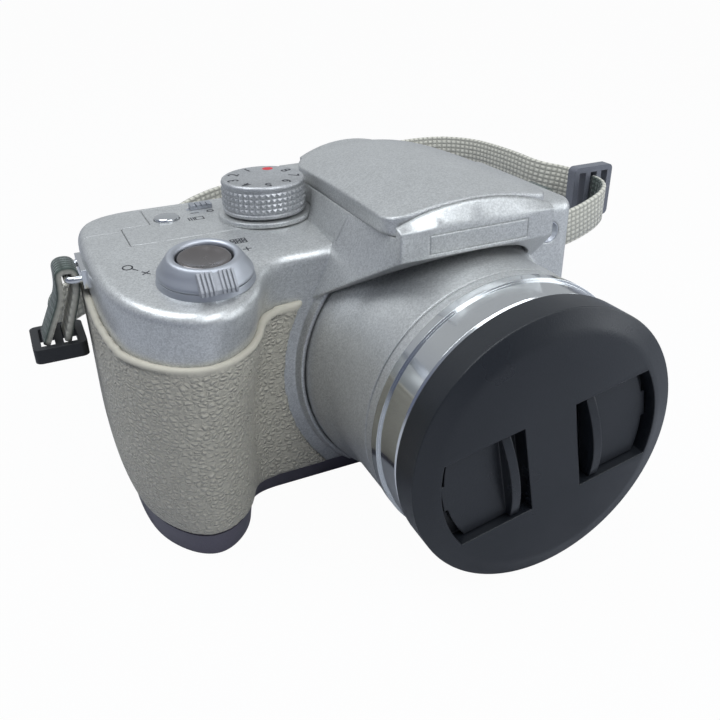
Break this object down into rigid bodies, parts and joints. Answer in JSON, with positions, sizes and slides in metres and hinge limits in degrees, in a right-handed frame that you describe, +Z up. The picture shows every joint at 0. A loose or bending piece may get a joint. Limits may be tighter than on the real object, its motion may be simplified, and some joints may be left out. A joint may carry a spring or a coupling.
{
  "type": "bridge camera",
  "caption": "Compact bridge camera with a telescoping zoom lens, lens cap, pop-up flash, mode dial, zoom ring, hinged doors and a neck strap.",
  "frame": {"origin": "Centre of the mouth of the tripod socket, on the underside, below the lens axis", "axes": "+Z up, the lens points along -Y, +X is to the right seen from the front, the grip is at -X"},
  "size_m": [0.167, 0.1451, 0.0723],
  "materials": {
    "silver_paint": "fine silver metallic paint",
    "silver_trim": "polished and brushed aluminium",
    "chrome": "bright chrome",
    "grip_leather": "warm grey pebbled rubber",
    "base_plastic": "dark grey plastic",
    "black_plastic": "matte black plastic",
    "black_barrel": "black plastic tube",
    "grey_button": "silver grey button",
    "clear_glass": "coated glass",
    "screen_glass": "dark screen window",
    "screen_panel": "display module",
    "rubber": "black rubber",
    "board": "circuit board",
    "brass": "plain brass",
    "steel": "steel",
    "battery_wrap": "battery case",
    "webbing": "ribbed beige grey webbing",
    "grey_plastic": "grey plastic"
  },
  "bodies": {
    "camera_body": {"front_cover": "silver_paint", "rear_cover": "silver_paint", "top_panel": "silver_paint", "base_plate": "base_plastic", "grip_skin": "grip_leather", "nose_plate": "silver_paint", "fixed_barrel": "silver_paint", "trim_ring": "silver_trim", "guide_rod_left": "steel", "guide_rod_right": "steel", "main_board": "board", "sensor_unit": "steel", "dial_ring": "silver_trim", "ring_collar": "silver_trim", "lamp_lens": "clear_glass", "screen_window": "screen_glass", "screen_display": "screen_panel", "eyecup": "rubber", "eyepiece_lens": "clear_glass", "finder_unit": "black_plastic", "lug_left": "chrome", "lug_right": "chrome", "tripod_socket": "brass", "battery": "battery_wrap", "memory_card": "battery_wrap", "flash_hinge_pin": "steel", "door_hinge_pin": "steel", "strap_webbing": "webbing", "strap_end_left": "webbing", "strap_end_right": "webbing", "strap_slide_left": "black_plastic", "strap_slide_right": "grey_plastic"},
    "mode_dial": {"mode_dial": "silver_trim"},
    "zoom_ring": {"zoom_ring": "silver_trim"},
    "shutter_button": {"shutter_button": "chrome"},
    "burst_button": {"burst_button": "chrome"},
    "power_switch": {"power_switch": "silver_trim"},
    "display_button": {"display_button": "grey_button"},
    "delete_button": {"delete_button": "grey_button"},
    "exposure_button": {"exposure_button": "grey_button"},
    "cursor_pad": {"cursor_pad": "grey_button"},
    "set_button": {"set_button": "grey_button"},
    "flash_lid": {"flash_lid": "silver_paint", "flash_housing": "black_plastic", "flash_window": "clear_glass"},
    "flash_button": {"flash_button": "grey_button"},
    "cam_barrel": {"cam_barrel": "black_barrel"},
    "middle_barrel": {"middle_barrel": "silver_paint"},
    "front_barrel": {"front_barrel": "silver_paint", "front_lens": "clear_glass"},
    "zoom_group": {"zoom_carrier": "black_barrel", "zoom_glass": "clear_glass"},
    "focus_group": {"focus_carrier": "black_barrel", "focus_glass": "clear_glass"},
    "lens_cap": {"lens_cap": "black_plastic"},
    "cap_tab_left": {"cap_tab_left": "black_plastic"},
    "cap_tab_right": {"cap_tab_right": "black_plastic"},
    "battery_door": {"battery_door": "base_plastic"},
    "door_latch": {"door_latch": "black_plastic"},
    "side_door": {"side_door": "silver_paint"}
  },
  "joints": [
    {"name": "mode_dial_turn", "type": "hinge", "parent": "camera_body", "child": "mode_dial", "pos_m": [-0.0298, 0.0064, 0.065], "axis": [0, 0, 1], "continuous": true},
    {"name": "zoom_ring_turn", "type": "hinge", "parent": "camera_body", "child": "zoom_ring", "pos_m": [-0.0511, -0.0204, 0.05817], "axis": [0, -0.1045, 0.9945], "range_deg": [-18, 18], "stiffness_Nm_per_rad": 0.02},
    {"name": "shutter_press", "type": "slide", "parent": "camera_body", "child": "shutter_button", "axis": [0, 0.1045, -0.9945], "range_m": [0, 0.0008], "stiffness_N_per_m": 600},
    {"name": "burst_press", "type": "slide", "parent": "camera_body", "child": "burst_button", "axis": [0, 0, -1], "range_m": [0, 0.0006], "stiffness_N_per_m": 600},
    {"name": "power_switch_slide", "type": "slide", "parent": "camera_body", "child": "power_switch", "axis": [-1, 0, 0], "range_m": [0, 0.0026]},
    {"name": "display_press", "type": "slide", "parent": "camera_body", "child": "display_button", "axis": [0, -1, 0], "range_m": [0, 0.0006], "stiffness_N_per_m": 600},
    {"name": "delete_press", "type": "slide", "parent": "camera_body", "child": "delete_button", "axis": [0, -1, 0], "range_m": [0, 0.0006], "stiffness_N_per_m": 600},
    {"name": "exposure_press", "type": "slide", "parent": "camera_body", "child": "exposure_button", "axis": [0, -1, 0], "range_m": [0, 0.0006], "stiffness_N_per_m": 600},
    {"name": "cursor_pad_rock", "type": "hinge", "parent": "camera_body", "child": "cursor_pad", "pos_m": [-0.0465, 0.0252, 0.023], "axis": [1, 0, 0], "range_deg": [-2, 2], "stiffness_Nm_per_rad": 0.05},
    {"name": "set_press", "type": "slide", "parent": "camera_body", "child": "set_button", "axis": [0, -1, 0], "range_m": [0, 0.0006], "stiffness_N_per_m": 600},
    {"name": "flash_lid_raise", "type": "hinge", "parent": "camera_body", "child": "flash_lid", "pos_m": [-0.0006, 0.017, 0.0672], "axis": [-1, 0, 0], "range_deg": [0, 30]},
    {"name": "flash_button_press", "type": "slide", "parent": "camera_body", "child": "flash_button", "axis": [0, 0, -1], "range_m": [0, 0.0006], "stiffness_N_per_m": 600},
    {"name": "lens_extend", "type": "slide", "parent": "camera_body", "child": "front_barrel", "axis": [0, -1, 0], "range_m": [0, 0.02]},
    {"name": "middle_barrel_extend", "type": "slide", "parent": "camera_body", "child": "middle_barrel", "axis": [0, -1, 0], "range_m": [0, 0.01]},
    {"name": "cam_barrel_turn", "type": "hinge", "parent": "camera_body", "child": "cam_barrel", "pos_m": [0, -0.03, 0.0296], "axis": [0, -1, 0], "range_deg": [0, 60.01]},
    {"name": "zoom_group_move", "type": "slide", "parent": "camera_body", "child": "zoom_group", "axis": [0, -1, 0], "range_m": [0, 0.006]},
    {"name": "focus_move", "type": "slide", "parent": "camera_body", "child": "focus_group", "axis": [0, -1, 0], "range_m": [0, 0.003]},
    {"name": "cap_off", "type": "slide", "parent": "front_barrel", "child": "lens_cap", "axis": [0, -1, 0], "range_m": [0, 0.025]},
    {"name": "cap_left_pinch", "type": "slide", "parent": "lens_cap", "child": "cap_tab_left", "axis": [0.9833, 0, 0.1822], "range_m": [0, 0.0016], "stiffness_N_per_m": 600},
    {"name": "cap_right_pinch", "type": "slide", "parent": "lens_cap", "child": "cap_tab_right", "axis": [-0.9833, 0, -0.1822], "range_m": [0, 0.0016], "stiffness_N_per_m": 600},
    {"name": "battery_door_open", "type": "hinge", "parent": "camera_body", "child": "battery_door", "pos_m": [-0.05645, 0.0176, 0.00175], "axis": [1, 0, 0], "range_deg": [0, 90]},
    {"name": "door_latch_slide", "type": "slide", "parent": "battery_door", "child": "door_latch", "axis": [0, 1, 0], "range_m": [0, 0.002]},
    {"name": "side_door_open", "type": "hinge", "parent": "camera_body", "child": "side_door", "pos_m": [0.0393, 0.0061, 0.026], "axis": [0, 0, 1], "range_deg": [0, 100]}
  ],
  "couplings": [
    {"joint": "middle_barrel_extend", "follows": "lens_extend", "ratio": 0.5},
    {"joint": "cam_barrel_turn", "follows": "lens_extend", "rad_per_m": 52.36},
    {"joint": "zoom_group_move", "follows": "lens_extend", "ratio": 0.3}
  ]
}
